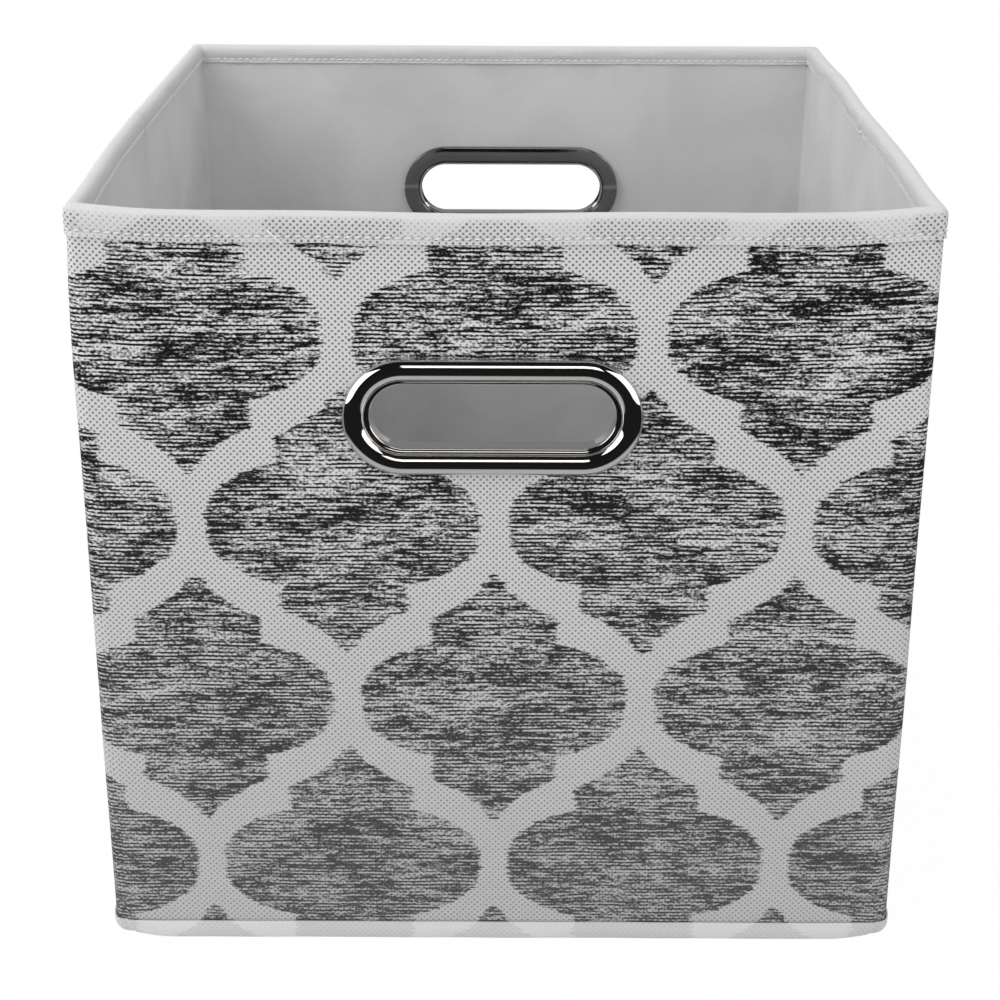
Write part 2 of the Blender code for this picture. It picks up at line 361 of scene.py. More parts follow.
def addLayer(layer, outline, shift, material, cutIn=True):
    # One piece for each wall, and one strip for each corner and crease that bends.
    made = {}
    for body, (start, end) in panels.items():
        piece = sweepWall(f"{layer}_{body}", stations(start, end), outline, shift)
        if cutIn and body in ("front", "rear"):
            cutSlot(piece, gripMiddle(body), -halfDepth if body == "front" else halfDepth)
        piece.data.materials.clear()
        piece.data.materials.append(material)
        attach(piece, body)
        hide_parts(f"{body}_{layer}")
        made[body] = piece
    for stripName, (first, second, start, end) in strips.items():
        piece = sweepWall(f"{layer}_{stripName}", stations(start, end, 0.0012), outline, shift)
        piece.data.materials.append(material)
        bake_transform(piece)
        made[stripName] = piece
    return made


# Shader helpers.


def setInput(tree, node, index, value):
    if value is None:
        return
    if isinstance(value, bpy.types.NodeSocket):
        tree.links.new(value, node.inputs[index])
    else:
        node.inputs[index].default_value = value


def calc(tree, operation, a, b=None, c=None, clamp=False):
    node = tree.nodes.new("ShaderNodeMath")
    node.operation, node.use_clamp = operation, clamp
    for index, value in enumerate((a, b, c)):
        setInput(tree, node, index, value)
    return node.outputs[0]


def fade(tree, value, low, high, toLow=0.0, toHigh=1.0):
    node = tree.nodes.new("ShaderNodeMapRange")
    node.interpolation_type = "SMOOTHSTEP"
    for name, number in (("From Min", low), ("From Max", high), ("To Min", toLow), ("To Max", toHigh)):
        setInput(tree, node, name, number)
    tree.links.new(value, node.inputs["Value"])
    return node.outputs["Result"]


def blendColour(tree, share, first, second, mode="MIX"):
    node = tree.nodes.new("ShaderNodeMix")
    node.data_type, node.blend_type = "RGBA", mode
    node.clamp_factor = True
    setInput(tree, node, 0, share)
    setInput(tree, node, 6, first)
    setInput(tree, node, 7, second)
    return node.outputs[2]


def blendNumber(tree, share, first, second):
    node = tree.nodes.new("ShaderNodeMix")
    for index, value in ((0, share), (2, first), (3, second)):
        setInput(tree, node, index, value)
    return node.outputs[0]


def stretched(tree, vector, scale, move=(0, 0, 0)):
    node = tree.nodes.new("ShaderNodeMapping")
    setInput(tree, node, "Vector", vector)
    node.inputs["Scale"].default_value = scale
    node.inputs["Location"].default_value = move
    return node.outputs[0]


def noiseOf(tree, vector, scale, detail=2.0, roughness=0.5, distortion=0.0):
    node = tree.nodes.new("ShaderNodeTexNoise")
    setInput(tree, node, "Vector", vector)
    node.inputs["Scale"].default_value = scale
    node.inputs["Detail"].default_value = detail
    node.inputs["Roughness"].default_value = roughness
    node.inputs["Distortion"].default_value = distortion
    return node.outputs["Fac"]


def grey(level, alpha=1.0):
    return (level, level, level * 1.01, alpha)


def newGroup(name, inputs, outputs):
    tree = bpy.data.node_groups.new(name, "ShaderNodeTree")
    for socketName, kind, value in inputs:
        socket = tree.interface.new_socket(socketName, in_out="INPUT", socket_type=kind)
        if value is not None:
            socket.default_value = value
    for socketName, kind in outputs:
        tree.interface.new_socket(socketName, in_out="OUTPUT", socket_type=kind)
    return tree, tree.nodes.new("NodeGroupInput").outputs, tree.nodes.new("NodeGroupOutput").inputs


def useGroup(tree, group, vector, **values):
    node = tree.nodes.new("ShaderNodeGroup")
    node.node_tree = group
    tree.links.new(vector, node.inputs["Vector"])
    for name, value in values.items():
        setInput(tree, node, name, value)
    return node.outputs


def embossGroup():
    # Staggered round pits that weld the nonwoven cloth together.
    tree, given, out = newGroup(
        "embossDots",
        [
            ("Vector", "NodeSocketVector", None),
            ("Pitch", "NodeSocketFloat", 0.0022),
            ("Row", "NodeSocketFloat", 0.0011),
            ("Size", "NodeSocketFloat", 0.00040),
        ],
        [("Dots", "NodeSocketFloat"), ("Threads", "NodeSocketFloat")],
    )
    wander = noiseOf(tree, given["Vector"], 900.0, 1.0)
    wander = calc(tree, "MULTIPLY", calc(tree, "SUBTRACT", wander, 0.5), 0.00035)
    split = tree.nodes.new("ShaderNodeSeparateXYZ")
    tree.links.new(given["Vector"], split.inputs[0])
    halfPitch = calc(tree, "MULTIPLY", given["Pitch"], 0.5)
    distances = []
    for offset in (0, 1):
        u = calc(tree, "ADD", split.outputs[0], calc(tree, "MULTIPLY", halfPitch, float(offset)))
        v = calc(tree, "ADD", split.outputs[1], calc(tree, "MULTIPLY", given["Row"], float(offset)))
        across = calc(tree, "PINGPONG", u, halfPitch)
        up = calc(tree, "PINGPONG", v, given["Row"])
        squares = calc(tree, "ADD", calc(tree, "POWER", across, 2.0), calc(tree, "POWER", up, 2.0))
        distances.append(calc(tree, "SQRT", squares))
    nearest = calc(tree, "ADD", calc(tree, "MINIMUM", *distances), wander)
    soft = calc(tree, "MULTIPLY", given["Size"], 1.45)
    hard = calc(tree, "MULTIPLY", given["Size"], 0.55)
    tree.links.new(fade(tree, nearest, soft, hard), out["Dots"])
    fibres = noiseOf(tree, stretched(tree, given["Vector"], (900, 2600, 1)), 1.0, 3.0, 0.6, 1.5)
    tree.links.new(fibres, out["Threads"])
    return tree


printShape = {
    "across": 0.1032,  # from one tile to the next in a row
    "rise": 0.0681,  # from one row to the next, half a step to the side
    "middleU": halfWidth - 0.0032,  # a tile of the top row
    "middleZ": 0.2380,
    "halfTile": 0.0468,  # widest
    "halfTall": 0.0495,
    "lowContrast": 0.50,  # the printed threads are paler and flatter towards the hem
    "thread": 0.00072,  # height of one row of printed thread
    "jag": 0.0034,  # how far the printed threads run past the outline
    # share of the half height, and share of the half width there
    "outline": [
        (0.00, 1.00),
        (0.12, 0.99),
        (0.20, 0.955),
        (0.263, 0.90),
        (0.323, 0.825),
        (0.384, 0.72),
        (0.425, 0.62),
        (0.45, 0.52),
        (0.462, 0.465),
        (0.56, 0.465),
        (0.62, 0.475),
        (0.66, 0.465),
        (0.70, 0.375),
        (0.76, 0.268),
        (0.87, 0.115),
        (0.95, 0.060),
        (1.00, 0.0),
    ],
}


def printGroup():
    # The ogee tiles and the heathered threads inside them.
    tree, given, out = newGroup(
        "ogeePrint",
        [("Vector", "NodeSocketVector", None)],
        [("Tile", "NodeSocketFloat"), ("Heather", "NodeSocketFloat")],
    )
    split = tree.nodes.new("ShaderNodeSeparateXYZ")
    tree.links.new(given["Vector"], split.inputs[0])
    rag = noiseOf(tree, stretched(tree, given["Vector"], (70, 1150, 1)), 1.0, 1.0)
    rag = calc(tree, "MULTIPLY", calc(tree, "SUBTRACT", rag, 0.5), 2 * printShape["jag"])
    fine = noiseOf(tree, stretched(tree, given["Vector"], (900, 1500, 1)), 1.0, 1.0)
    rag = calc(tree, "ADD", rag, calc(tree, "MULTIPLY", calc(tree, "SUBTRACT", fine, 0.5), 0.0030))
    tiles = []
    for offset in (0, 1):
        u = calc(tree, "SUBTRACT", split.outputs[0], printShape["middleU"] + offset * printShape["across"] / 2)
        v = calc(tree, "SUBTRACT", split.outputs[1], printShape["middleZ"] - offset * printShape["rise"])
        across = calc(tree, "PINGPONG", u, printShape["across"] / 2)
        up = calc(tree, "DIVIDE", calc(tree, "PINGPONG", v, printShape["rise"]), printShape["halfTall"])
        curve = tree.nodes.new("ShaderNodeFloatCurve")
        points = curve.mapping.curves[0].points
        points[0].location, points[1].location = printShape["outline"][0], printShape["outline"][-1]
        for place in printShape["outline"][1:-1]:
            points.new(*place)
        for point in points:
            point.handle_type = "VECTOR"
        curve.mapping.update()
        tree.links.new(up, curve.inputs["Value"])
        inside = calc(tree, "MULTIPLY", curve.outputs[0], printShape["halfTile"])
        room = calc(tree, "ADD", calc(tree, "SUBTRACT", inside, across), rag)
        tile = fade(tree, room, -0.0002, 0.0003)
        tiles.append(calc(tree, "MULTIPLY", tile, calc(tree, "LESS_THAN", up, 1.03)))
    tree.links.new(calc(tree, "MAXIMUM", *tiles), out["Tile"])
    sway = noiseOf(tree, stretched(tree, given["Vector"], (45, 130, 1)), 1.0, 1.0)
    level = calc(tree, "MULTIPLY_ADD", sway, 0.0016, split.outputs[1])
    rows = calc(tree, "DIVIDE", level, printShape["thread"])
    row = calc(tree, "FLOOR", rows)
    layers = []
    for stretch, step, weight in ((120.0, 7.31, 1.5), (330.0, 3.77, 0.95), (42.0, 11.9, 0.8)):
        along = tree.nodes.new("ShaderNodeCombineXYZ")
        tree.links.new(calc(tree, "MULTIPLY", split.outputs[0], stretch), along.inputs[0])
        tree.links.new(calc(tree, "MULTIPLY", row, step), along.inputs[1])
        layers.append((noiseOf(tree, along.outputs[0], 1.0, 1.0), weight))
    layers.append((noiseOf(tree, stretched(tree, given["Vector"], (900, 1500, 1)), 1.0, 1.0), 1.2))
    patch = noiseOf(tree, stretched(tree, given["Vector"], (30, 75, 1)), 1.0, 2.0)
    layers.append((patch, 1.0))
    beat = calc(tree, "PINGPONG", calc(tree, "SUBTRACT", rows, 0.5), 1.0)
    total = calc(tree, "MULTIPLY", calc(tree, "SUBTRACT", beat, 0.5), 0.55)
    for part, weight in layers:
        total = calc(tree, "ADD", total, calc(tree, "MULTIPLY", calc(tree, "SUBTRACT", part, 0.5), weight))
    streaks = fade(tree, total, -0.19, 0.30)
    lower = calc(tree, "POWER", fade(tree, split.outputs[1], 0.0, binTop, 1.0, 0.0), 1.5)
    lower = calc(tree, "MULTIPLY", lower, printShape["lowContrast"])
    tree.links.new(blendNumber(tree, lower, streaks, 0.47), out["Heather"])
    return tree


def smudgeGroup():
    # Soft blotches, dust and creasing that keep a plain cloth from looking flat.
    tree, given, out = newGroup(
        "clothWear",
        [("Vector", "NodeSocketVector", None), ("Scale", "NodeSocketFloat", 1.0)],
        [("Blotch", "NodeSocketFloat"), ("Fluff", "NodeSocketFloat")],
    )
    scale = tree.nodes.new("ShaderNodeVectorMath")
    scale.operation = "SCALE"
    tree.links.new(given["Vector"], scale.inputs[0])
    tree.links.new(given["Scale"], scale.inputs["Scale"])
    blotch = noiseOf(tree, scale.outputs[0], 28.0, 4.0, 0.55, 0.4)
    tree.links.new(blotch, out["Blotch"])
    tree.links.new(noiseOf(tree, scale.outputs[0], 520.0, 3.0, 0.6, 0.6), out["Fluff"])
    return tree


rimShape = {"thick": 0.00045, "round": 0.0024, "stitchUp": 0.0021, "pucker": 0.00022, "pitch": 0.0032, "insideLift": 0.0025}

emboss, ogee, wear = embossGroup(), printGroup(), smudgeGroup()


def newMaterial(name):
    material = bpy.data.materials.new(name)
    material.use_nodes = True
    tree = material.node_tree
    shader = tree.nodes["Principled BSDF"]
    return material, tree, shader


def clothMap(tree):
    node = tree.nodes.new("ShaderNodeUVMap")
    node.uv_map = "UVMap"
    return node.outputs[0]


def objectMap(tree):
    return tree.nodes.new("ShaderNodeTexCoord").outputs["Object"]


def relief(tree, shader, height, distance, strength=1.0):
    node = tree.nodes.new("ShaderNodeBump")
    node.inputs["Distance"].default_value = distance
    node.inputs["Strength"].default_value = strength
    tree.links.new(height, node.inputs["Height"])
    tree.links.new(node.outputs[0], shader.inputs["Normal"])


def sheen(shader, weight, roughness):
    shader.inputs["Sheen Weight"].default_value = weight
    shader.inputs["Sheen Roughness"].default_value = roughness


printedLook = {
    "white": 0.72,
    "whiteLow": 0.56,  # near the hem
    "dots": 0.82,
    "dotsLow": 0.50,
    "black": 0.0035,
    "pale": 0.74,
    "pit": 0.05,
    "roughness": 0.72,
}


def printedCloth():
    material, tree, shader = newMaterial("printedCloth")
    cloth = clothMap(tree)
    dots = useGroup(tree, emboss, cloth)
    tiles = useGroup(tree, ogee, cloth)
    marks = useGroup(tree, wear, cloth)
    split = tree.nodes.new("ShaderNodeSeparateXYZ")
    tree.links.new(cloth, split.inputs[0])
    level = fade(tree, split.outputs[1], 0.0, binTop)
    white = blendColour(tree, level, grey(printedLook["whiteLow"]), grey(printedLook["white"]))
    dull = calc(tree, "MULTIPLY", calc(tree, "SUBTRACT", 1.0, marks["Blotch"]), 0.07)
    white = blendColour(tree, dull, white, grey(0.0))
    strength = fade(tree, split.outputs[1], 0.0, binTop, printedLook["dotsLow"], printedLook["dots"])
    white = blendColour(tree, calc(tree, "MULTIPLY", dots["Dots"], strength), white, grey(printedLook["pit"]))
    tone = calc(tree, "POWER", tiles["Heather"], 1.5)
    threads = blendColour(tree, tone, grey(printedLook["black"]), grey(printedLook["pale"]))
    threads = blendColour(tree, calc(tree, "MULTIPLY", dots["Dots"], 0.6), threads, grey(0.03))
    colour = blendColour(tree, tiles["Tile"], white, threads)
    tree.links.new(colour, shader.inputs["Base Color"])
    rough = calc(tree, "ADD", calc(tree, "MULTIPLY", dots["Threads"], 0.2), printedLook["roughness"] - 0.1)
    tree.links.new(rough, shader.inputs["Roughness"])
    pits = calc(tree, "MULTIPLY", dots["Dots"], -1.0)
    height = calc(tree, "ADD", pits, calc(tree, "MULTIPLY", dots["Threads"], 0.25))
    height = calc(tree, "ADD", height, calc(tree, "MULTIPLY", tiles["Heather"], 0.25))
    relief(tree, shader, height, 0.00012, 0.8)
    shader.inputs["Specular IOR Level"].default_value = 0.15
    return material


bindingLook = {"inside": 0.10, "white": 0.73, "pit": 0.46, "show": 0.07, "pitShow": 0.75}


def bindingCloth(name, pits, show, white, scale=1.0):
    # Thin white strip; the print under it shows through, most at the pits.
    material, tree, shader = newMaterial(name)
    cloth = clothMap(tree)
    dots = useGroup(tree, emboss, cloth)
    tiles = useGroup(tree, ogee, cloth)
    marks = useGroup(tree, wear, cloth, Scale=scale)
    split = tree.nodes.new("ShaderNodeSeparateXYZ")
    tree.links.new(cloth, split.inputs[0])
    outside = calc(tree, "LESS_THAN", split.outputs[1], binTop - 0.001)
    under = calc(tree, "MULTIPLY", tiles["Tile"], outside)
    base = blendColour(tree, marks["Blotch"], grey(white * 0.90), grey(white))
    base = blendColour(tree, calc(tree, "MULTIPLY", under, show), base, grey(0.12))
    pit = blendColour(tree, calc(tree, "MULTIPLY", under, bindingLook["pitShow"]), grey(bindingLook["pit"]), grey(0.05))
    facing = fade(tree, split.outputs[1], binTop - 0.0024, binTop - 0.0014, 1.0, bindingLook["inside"])
    colour = blendColour(tree, calc(tree, "MULTIPLY", calc(tree, "MULTIPLY", dots["Dots"], pits), facing), base, pit)
    if name == "rimBinding":
        along = calc(tree, "PINGPONG", split.outputs[0], rimShape["pitch"] / 2)
        along = calc(tree, "SUBTRACT", along, rimShape["pitch"] / 2)
        up = calc(tree, "SUBTRACT", split.outputs[1], rimBottom + rimShape["stitchUp"])
        gap = calc(tree, "SQRT", calc(tree, "ADD", calc(tree, "POWER", along, 2.0), calc(tree, "POWER", up, 2.0)))
        # Painted shade: a thin dark line along the stitch row, where the cloth puckers under the thread.
        line = fade(tree, calc(tree, "ABSOLUTE", up), 0.00080, 0.00030)
        colour = blendColour(tree, calc(tree, "MULTIPLY", line, 0.28), colour, grey(0.30))
        # Dark needle holes at the stitch ends: the holes are real, their darkness is painted shade.
        holeShade = fade(tree, gap, 0.00042, 0.00022)
        colour = blendColour(tree, calc(tree, "MULTIPLY", holeShade, 0.6), colour, grey(0.22))
    tree.links.new(colour, shader.inputs["Base Color"])
    tree.links.new(fade(tree, marks["Fluff"], 0.2, 0.8, 0.62, 0.85), shader.inputs["Roughness"])
    height = calc(tree, "ADD", calc(tree, "MULTIPLY", dots["Dots"], -pits), calc(tree, "MULTIPLY", marks["Fluff"], 0.5))
    relief(tree, shader, height, 0.00012, 0.7)
    shader.inputs["Subsurface Weight"].default_value = 0.0
    sheen(shader, 0.25, 0.4)
    return material


liningLook = {"pale": 0.745, "dim": 0.66, "pit": 0.55, "dust": 0.17}


def liningCloth(name="liningCloth", level=1.0):
    material, tree, shader = newMaterial(name)
    cloth = clothMap(tree)
    dots = useGroup(tree, emboss, cloth)
    marks = useGroup(tree, wear, cloth, Scale=0.9)
    colour = blendColour(tree, fade(tree, marks["Blotch"], 0.3, 0.7), grey(liningLook["dim"] * level), grey(liningLook["pale"] * level))
    colour = blendColour(tree, calc(tree, "MULTIPLY", dots["Dots"], 0.15), colour, grey(liningLook["pit"] * level))
    split = tree.nodes.new("ShaderNodeSeparateXYZ")
    tree.links.new(cloth, split.inputs[0])
    # Painted shade: the cloth is blended towards black at low v, the bottom of the walls, where less light reaches
    # inside the bin.
    dust = fade(tree, split.outputs[1], 0.35 * binTop, binTop, liningLook["dust"], 0.0)
    colour = blendColour(tree, dust, colour, grey(0.0))
    tree.links.new(colour, shader.inputs["Base Color"])
    tree.links.new(fade(tree, marks["Fluff"], 0.2, 0.8, 0.7, 0.9), shader.inputs["Roughness"])
    height = calc(tree, "ADD", calc(tree, "MULTIPLY", dots["Dots"], -0.6), calc(tree, "MULTIPLY", marks["Fluff"], 0.5))
    relief(tree, shader, height, 0.00010, 0.7)
    sheen(shader, 0.2, 0.5)
    return material


def cardBoard():
    material, tree, shader = newMaterial("greyCard")
    place = objectMap(tree)
    pulp = noiseOf(tree, place, 420.0, 5.0, 0.65)
    fleck = noiseOf(tree, place, 1800.0, 2.0)
    colour = blendColour(tree, pulp, (0.20, 0.18, 0.15, 1), (0.36, 0.33, 0.29, 1))
    colour = blendColour(tree, fade(tree, fleck, 0.62, 0.7), colour, (0.10, 0.09, 0.08, 1))
    tree.links.new(colour, shader.inputs["Base Color"])
    tree.links.new(fade(tree, pulp, 0.3, 0.7, 0.82, 0.95), shader.inputs["Roughness"])
    relief(tree, shader, pulp, 0.00008)
    return material


def wadding():
    material, tree, shader = newMaterial("wadding")
    place = objectMap(tree)
    fluff = noiseOf(tree, place, 700.0, 5.0, 0.7, 1.0)
    clumps = noiseOf(tree, place, 90.0, 3.0)
    colour = blendColour(tree, fluff, (0.50, 0.50, 0.48, 1), (0.72, 0.72, 0.70, 1))
    colour = blendColour(tree, calc(tree, "MULTIPLY", clumps, 0.4), colour, (0.55, 0.54, 0.50, 1))
    tree.links.new(colour, shader.inputs["Base Color"])
    shader.inputs["Roughness"].default_value = 0.95
    relief(tree, shader, fluff, 0.0004)
    sheen(shader, 0.4, 0.5)
    return material


chromeLook = {"tint": (0.80, 0.79, 0.78, 1), "warm": (0.74, 0.71, 0.68, 1)}


def chromePlate(name="chromePlate", markLevel=None, level=1.0):
    # markLevel is the height of two pale marks on the inner ring, where the plating is made partly non-metallic.
    material, tree, shader = newMaterial(name)
    place = objectMap(tree)
    haze = noiseOf(tree, place, 60.0, 4.0, 0.6)
    scratches = noiseOf(tree, stretched(tree, place, (3000, 400, 9000)), 1.0, 2.0)
    colour = blendColour(tree, haze, chromeLook["tint"], chromeLook["warm"])
    # Painted shade: level below 1 blends the plating towards black; the inner rings use it as a darker copy of the
    # chrome.
    colour = blendColour(tree, 1 - level, colour, grey(0.0))
    tree.links.new(colour, shader.inputs["Base Color"])
    shader.inputs["Metallic"].default_value = 1.0
    if markLevel is not None:
        split = tree.nodes.new("ShaderNodeSeparateXYZ")
        tree.links.new(place, split.inputs[0])
        gap = calc(tree, "ABSOLUTE", calc(tree, "SUBTRACT", split.outputs[2], markLevel))
        tree.links.new(fade(tree, gap, 0.0007, 0.0011, 0.62, 1.0), shader.inputs["Metallic"])
    rough = calc(tree, "ADD", fade(tree, haze, 0.3, 0.8, 0.035, 0.08), fade(tree, scratches, 0.6, 0.8, 0.0, 0.05))
    tree.links.new(rough, shader.inputs["Roughness"])
    relief(tree, shader, scratches, 0.000004, 0.3)
    return material


def sewingThread():
    material, tree, shader = newMaterial("sewingThread")
    place = objectMap(tree)
    twist = noiseOf(tree, stretched(tree, place, (2500, 2500, 6000)), 1.0, 2.0, 0.5, 1.0)
    colour = blendColour(tree, twist, (0.80, 0.81, 0.82, 1), (0.93, 0.94, 0.95, 1))
    tree.links.new(colour, shader.inputs["Base Color"])
    shader.inputs["Roughness"].default_value = 0.55
    relief(tree, shader, twist, 0.0001)
    sheen(shader, 0.3, 0.4)
    return material


lightLook = {"sky": 0.99, "studio": 0.012, "behind": 0.30, "fill": 1.5, "side": 8.0, "card": 2.2}
floorLook = {"pale": 0.95, "shade": 0.02, "mirrorNear": 0.33, "mirrorFar": 0.41, "mirrorLevel": 0.50}


def paleFloor():
    # The camera sees it nearly white; polished metal sees only the part close to the bin.
    material, tree, shader = newMaterial("paleFloor")
    place = objectMap(tree)
    patches = noiseOf(tree, place, 3.0, 3.0)
    pale = floorLook["pale"]
    tree.links.new(blendColour(tree, patches, grey(pale * 0.98), grey(pale)), shader.inputs["Base Color"])
    shader.inputs["Roughness"].default_value = 0.9
    rays = tree.nodes.new("ShaderNodeLightPath").outputs
    white = tree.nodes.new("ShaderNodeEmission")
    seen = tree.nodes.new("ShaderNodeMixShader")
    setInput(tree, seen, 0, calc(tree, "MULTIPLY", rays["Is Camera Ray"], 1 - floorLook["shade"]))
    tree.links.new(shader.outputs[0], seen.inputs[1])
    tree.links.new(white.outputs[0], seen.inputs[2])
    length = tree.nodes.new("ShaderNodeVectorMath")
    length.operation = "LENGTH"
    tree.links.new(place, length.inputs[0])
    near = fade(tree, length.outputs["Value"], floorLook["mirrorNear"], floorLook["mirrorFar"], 1.0, 0.0)
    mirrored = tree.nodes.new("ShaderNodeEmission")
    level = calc(tree, "MULTIPLY_ADD", near, floorLook["mirrorLevel"], lightLook["studio"])
    tree.links.new(level, mirrored.inputs["Strength"])
    both = tree.nodes.new("ShaderNodeMixShader")
    tree.links.new(rays["Is Glossy Ray"], both.inputs[0])
    tree.links.new(seen.outputs[0], both.inputs[1])
    tree.links.new(mirrored.outputs[0], both.inputs[2])
    tree.links.new(both.outputs[0], tree.nodes["Material Output"].inputs[0])
    return material


clothPrinted, clothLining = printedCloth(), liningCloth()
clothRim = bindingCloth("rimBinding", 1.0, bindingLook["show"], bindingLook["white"])
clothHem = bindingCloth("hemBinding", 0.15, 0.16, bindingLook["white"] * 1.04, 2.0)
card, pad, chrome, thread = cardBoard(), wadding(), chromePlate(), sewingThread()
# The inner rings get a darkened copy of the chrome plating: painted shade.
shadedInnerChrome = {wall: chromePlate(wall + "InnerChrome", gripMiddle(wall)[1] + 0.001, 0.42) for wall in ("front", "rear")}
clothBase = liningCloth("baseCloth", 0.85)
print("materials made")


# Wall layers.


def gapFrom(u, place):
    return abs(u - place)


def skinShift(u, depth, z):
    return -rippleOf(u, z), 0.0


def grooveOf(u):
    near = min(gapFrom(u, leftMiddle), gapFrom(u, rightMiddle))
    return wallShape["creaseGroove"] * math.exp(-((near / wallShape["creaseGrooveWidth"]) ** 2))


def liningShift(u, depth, z):
    turn = 2 * math.pi * u / loopLength
    wave = math.sin(9 * turn + 12.0 * z / binTop + 2) + 0.6 * math.sin(27 * turn - 8.0 * z / binTop)
    return 0.00035 * (0.5 + 0.3 * wave) - grooveOf(u), 0.0


skinShape = {"low": skinLow.z, "high": binTop - 0.0026, "thick": 0.00045, "rows": 0.003}
skinOutline = slabOutline(0.0, skinShape["thick"], skinShape["low"], skinShape["high"], skinShape["rows"])
addLayer("skin", skinOutline, skinShift, clothPrinted)
print("printed cloth made")

liningOuter = liningDepth - 0.00045
liningOutline = slabOutline(liningOuter, liningDepth, skinShape["low"], skinShape["high"], skinShape["rows"])
addLayer("lining", liningOutline, liningShift, clothLining)
print("lining made")


def addCards():
    outer, inner = cardLow.y + halfDepth, cardHigh.y + halfDepth
    outline = slabOutline(outer, inner, cardLow.z, cardHigh.z, 0.012)
    edge = halfWidth - cardHigh.x
    margin = -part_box("left_front_card_stiffener")[1].y
    spans = {
        "left_rear": (edge + foldInset + 0.003 - binDepth, leftMiddle - margin),
        "left_front": (leftMiddle + margin, -edge - foldInset),
        "front": (edge, binWidth - edge),
        "right_front": (binWidth + edge + foldInset, rightMiddle - margin),
        "right_rear": (rightMiddle + margin, binWidth + binDepth - edge - foldInset),
        "rear": (binWidth + binDepth + edge, 2 * binWidth + binDepth - edge - 0.003),
    }
    for body, (start, end) in spans.items():
        count = round((end - start) / 0.012)
        places = [start + (end - start) * i / count for i in range(count + 1)]
        piece = sweepWall(f"card_{body}", places, outline, square=True)
        if body in ("front", "rear"):
            cutSlot(piece, gripMiddle(body), -halfDepth if body == "front" else halfDepth)
        piece.data.materials.clear()
        piece.data.materials.append(card)
        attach(piece, body)
        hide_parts(f"{body}_card_stiffener")


addCards()



def arcPoints(middle, half, level, height, steps, start=math.pi, end=0.0):
    points = []
    for step in range(steps + 1):
        angle = start + (end - start) * step / steps
        points.append((middle + half * math.cos(angle), level + height * math.sin(angle)))
    return points


def legPoints(depth, low, high, rise):
    rows = max(1, round((high - low) / rise))
    return [(depth, low + (high - low) * i / rows) for i in range(rows + 1)]


def withLength(points, start):
    # Adds v, the distance along the strip, so a pattern runs over the fold without a jump.
    v, result = start, []
    for index, (depth, z) in enumerate(points):
        if index:
            v += math.dist((depth, z), points[index - 1])
        result.append((depth, z, v))
    return result


def rimOutline():
    thick = rimShape["thick"]
    middle = (bindingDepth - bindingOut) / 2
    half = (bindingDepth + bindingOut) / 2
    level = binTop - rimShape["round"]
    outer = legPoints(-bindingOut, rimBottom, level, 0.0008)[:-1]
    outer += arcPoints(middle, half, level, rimShape["round"], 12)
    outer += list(reversed(legPoints(bindingDepth, rimBottom, level, 0.0008)))[1:]
    inner = legPoints(-bindingOut + thick, rimBottom, level, 0.0025)[:-1]
    inner += arcPoints(middle, half - thick, level, rimShape["round"] - thick, 8)
    inner += list(reversed(legPoints(bindingDepth - thick, rimBottom, level, 0.0025)))[1:]
    return withLength(outer, rimBottom) + list(reversed(withLength(inner, rimBottom)))


def insideLift(u):
    # The inner leg of the rim is as deep as the outer one at the front, and shallower elsewhere.
    past = max(0.0, -u, u - binWidth)
    return rimShape["insideLift"] * min(1.0, past / 0.05)


def rimShift(u, depth, z):
    outside = depth < bindingDepth / 2 - 0.001
    away = -1 if outside else 1
    seam = rimBottom + rimShape["stitchUp"]
    press = math.exp(-(((z - seam) / 0.0011) ** 2))
    dimple = 0.65 + 0.35 * math.cos(2 * math.pi * u / rimShape["pitch"])
    puff = 0.00045 * math.exp(-(((z - seam - 0.0035) / 0.0026) ** 2)) * (0.7 + 0.3 * math.sin(u * 171.0))
    loose = 0.0003 * max(0.0, 1 - (z - rimBottom) / 0.0016) * (0.6 + 0.4 * math.sin(u * 523.0))
    shift = away * (puff + loose - rimShape["pucker"] * press * dimple - rippleOf(u, z) * 0.5)
    if outside:
        return shift - rippleOf(u, z), 0.0
    straight = binTop - rimShape["round"]
    share = max(0.0, (straight - z) / (straight - rimBottom))
    return shift - 0.6 * grooveOf(u), share * insideLift(u)


addLayer("top_binding", rimOutline(), rimShift, clothRim, cutIn=False)
print("rim made")

hemShape = {"floorGap": 0.0002, "thick": 0.00045, "round": 0.0020, "puff": 0.00055}


def hemOutline():
    thick, top, low = hemShape["thick"], hemHigh.z, hemShape["floorGap"]
    turn = hemShape["round"]
    outer = list(reversed(legPoints(-bindingOut, low + turn, top, 0.0008)))[:-1]
    outer += arcPoints(-bindingOut + turn, turn, low + turn, turn, 6, math.pi, 1.5 * math.pi)
    outer += [(liningDepth - 0.0006, low)]
    inner = [(liningDepth - 0.0006, low + thick)]
    inner += arcPoints(-bindingOut + turn, turn - thick, low + turn, turn - thick, 6, 1.5 * math.pi, math.pi)
    inner += legPoints(-bindingOut + thick, low + turn, top, 0.0016)[1:]
    return [(d, z, z if i < len(outer) else z) for i, (d, z) in enumerate(outer + inner)]


def hemShift(u, depth, z):
    share = min(1.0, max(0.0, (z - hemLow.z) / (hemHigh.z - hemLow.z)))
    puff = hemShape["puff"] * math.sin(math.pi * min(1.0, share * 1.05)) * (0.8 + 0.2 * math.sin(u * 77.0))
    return (-puff - rippleOf(u, z) if depth < 0.001 else 0.0), 0.0


addLayer("bottom_binding", hemOutline(), hemShift, clothHem, cutIn=False)
print("hem made")


# Open corner.

flapShape = {"outer": 0.0039, "thick": 0.00040, "tail": 0.0025, "turn": 136.0, "top": 0.0013, "roof": 0.0007}


